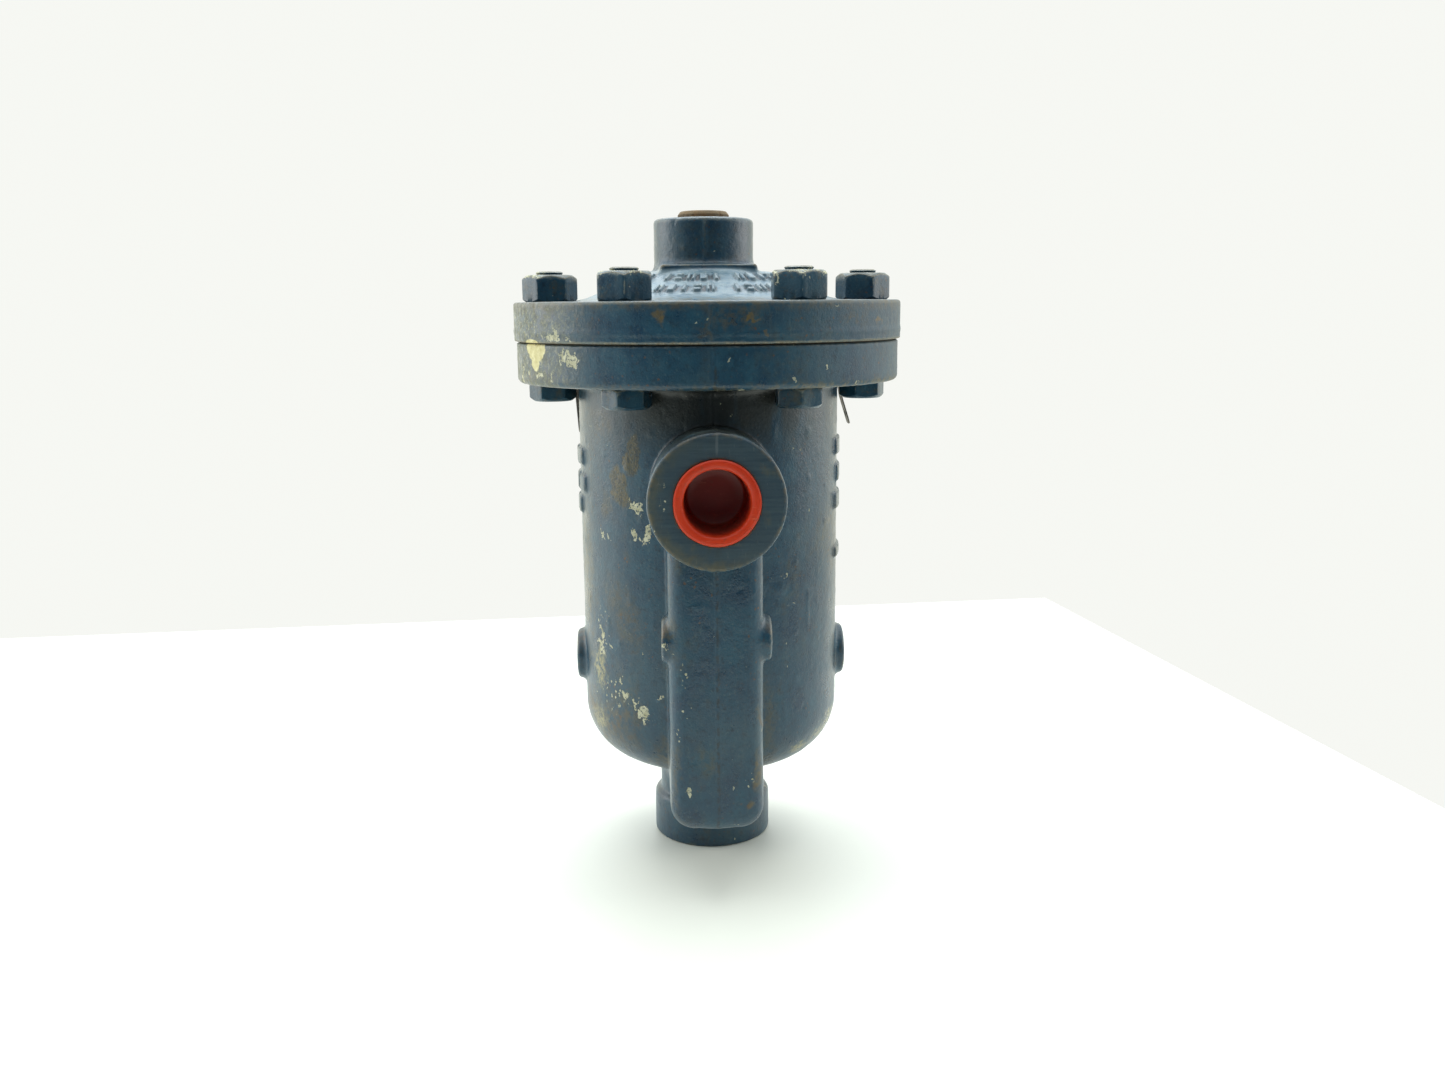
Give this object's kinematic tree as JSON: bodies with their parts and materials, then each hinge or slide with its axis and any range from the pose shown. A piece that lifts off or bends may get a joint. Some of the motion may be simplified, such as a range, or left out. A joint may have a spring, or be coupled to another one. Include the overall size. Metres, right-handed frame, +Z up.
{
  "type": "steam trap",
  "caption": "Inverted-bucket steam trap with side inlet and outlet, bolted domed cover, threaded ports and an internal bucket, lever and valve.",
  "frame": {"origin": "centre of the bottom boss's standing face", "axes": "+Z up along the body axis; -Y faces the inlet port and +Y the outlet port; X runs across the two ports' line"},
  "size_m": [0.178, 0.1987, 0.298],
  "materials": {
    "cast_paint": "worn dark blue enamel over sand-cast iron, rust bloom and dust",
    "fastener_paint": "worn dark blue enamel on steel, chipped at the edges",
    "gasket": "dark compressed fibre sheet, matte",
    "plug_steel": "tarnished steel with light rust",
    "cap_plastic": "orange-red polyethylene",
    "tag_steel": "thin stainless strip, dulled",
    "stainless": "stainless steel",
    "valve_steel": "hardened stainless, lapped"
  },
  "bodies": {
    "trap_body": {"body_casting": "cast_paint", "cover_casting": "cast_paint", "cover_gasket": "gasket", "cover_bolts": "fastener_paint", "cover_nuts": "fastener_paint", "drain_plug": "plug_steel", "inlet_tube": "stainless", "valve_seat": "valve_steel", "fulcrum_plate": "stainless", "guide_pins": "stainless", "guide_screws": "stainless", "id_tag_left": "tag_steel", "id_tag_right": "tag_steel"},
    "bucket_unit": {"bucket": "stainless", "bucket_clip": "stainless", "clip_rivets": "stainless"},
    "lever_unit": {"valve_lever": "stainless", "valve_ball": "valve_steel", "valve_retainer": "stainless"},
    "inlet_cap": {"inlet_cap_plug": "cap_plastic"},
    "top_plug": {"test_plug": "plug_steel"}
  },
  "joints": [
    {"name": "bucket_travel", "type": "slide", "parent": "trap_body", "child": "bucket_unit", "axis": [0, 0, 1], "range_m": [0, 0.00755]},
    {"name": "lever_swing", "type": "hinge", "parent": "trap_body", "child": "lever_unit", "pos_m": [0, 0.042, 0.2295], "axis": [-1, 0, 0], "range_deg": [0, 10.4]},
    {"name": "inlet_cap_pull", "type": "slide", "parent": "trap_body", "child": "inlet_cap", "axis": [0, -1, 0], "range_m": [0, 0.03]},
    {"name": "test_plug_lift", "type": "slide", "parent": "trap_body", "child": "top_plug", "axis": [0, 0, 1], "range_m": [0, 0.03]}
  ],
  "couplings": [
    {"joint": "lever_swing", "follows": "bucket_travel", "rad_per_m": 23.94}
  ]
}
